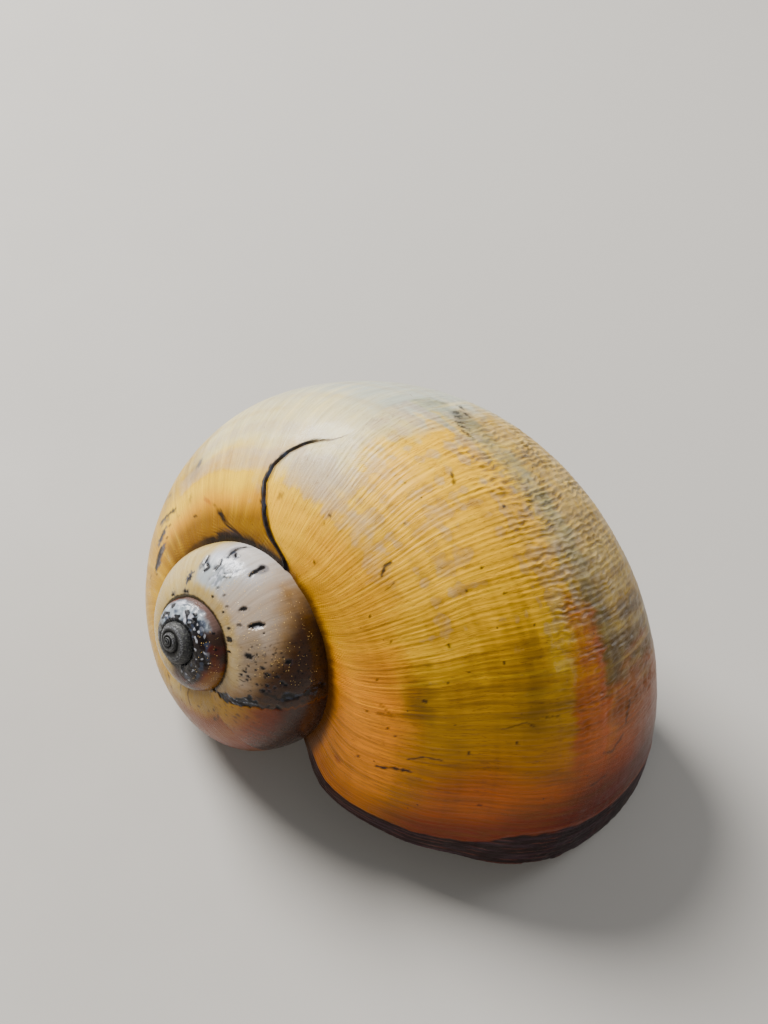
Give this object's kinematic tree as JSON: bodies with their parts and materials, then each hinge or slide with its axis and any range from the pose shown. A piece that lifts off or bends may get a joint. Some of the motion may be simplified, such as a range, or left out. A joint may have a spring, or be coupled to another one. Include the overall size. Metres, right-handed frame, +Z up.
{
  "type": "apple snail",
  "caption": "Life-size apple snail drawn back into its large globular coiled shell, resting on its mouth and belly, with the operculum shut.",
  "frame": {"origin": "on the floor, below the middle of the snail's bounding box", "axes": "+Z up, -Y towards the viewer, +X across the view, from the apex's side towards the outer lip"},
  "size_m": [0.0778, 0.0596, 0.0501],
  "materials": {
    "worn_apex": "eroded, grey to black",
    "dark_shell": "glossy purple brown with white wear",
    "beige_shell": "glossy pinkish beige with black pits",
    "yellow_shell": "glossy yellow with growth lines",
    "ochre_shell": "glossy ochre to olive with growth wrinkles",
    "lip_edge": "dark purple brown",
    "callus": "smooth pale porcelain",
    "horn": "brown horn with growth rings",
    "flesh": "moist grey brown"
  },
  "bodies": {
    "root": {"apex": "worn_apex", "spire_whorl": "dark_shell", "penultimate_whorl": "beige_shell", "body_whorl_older": "yellow_shell", "body_whorl": "ochre_shell", "outer_lip": "lip_edge", "inner_lip": "callus", "operculum": "horn", "foot": "flesh"}
  },
  "joints": []
}
